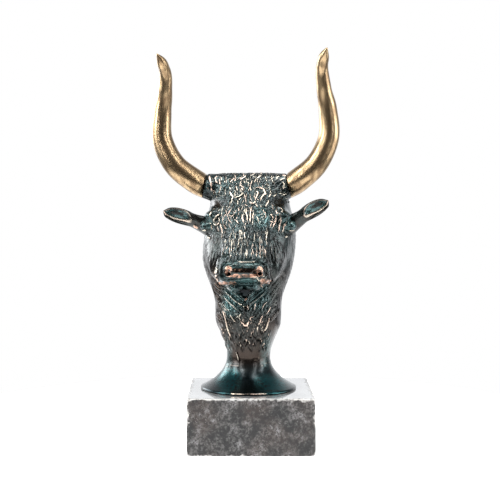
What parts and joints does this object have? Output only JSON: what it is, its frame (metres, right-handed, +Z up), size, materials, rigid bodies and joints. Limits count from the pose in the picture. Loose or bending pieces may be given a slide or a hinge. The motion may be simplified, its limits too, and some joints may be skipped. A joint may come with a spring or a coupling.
{
  "type": "bull head statue",
  "caption": "Bust of a bull in green-patinated bronze with long polished brass horns, on a square block of mottled grey stone",
  "frame": {"origin": "the middle of the plinth's underside", "axes": "+Z up from the plinth to the horn tips, -Y the way the bull faces, +X to the right of a viewer who faces the bull"},
  "size_m": [0.1353, 0.105, 0.2822],
  "materials": {
    "plinth_stone": "mottled grey-brown stone, polished on top, rough in front, with pale chipped edges",
    "patinated_bronze": "dark blue-green patina rubbed to pinkish copper on raised hair and edges, brown towards the waist",
    "polished_brass": "polished yellow brass with fine hammer marks and brown toning"
  },
  "bodies": {
    "root": {"plinth": "plinth_stone", "head": "patinated_bronze", "horn_left": "polished_brass", "horn_right": "polished_brass"}
  },
  "joints": []
}
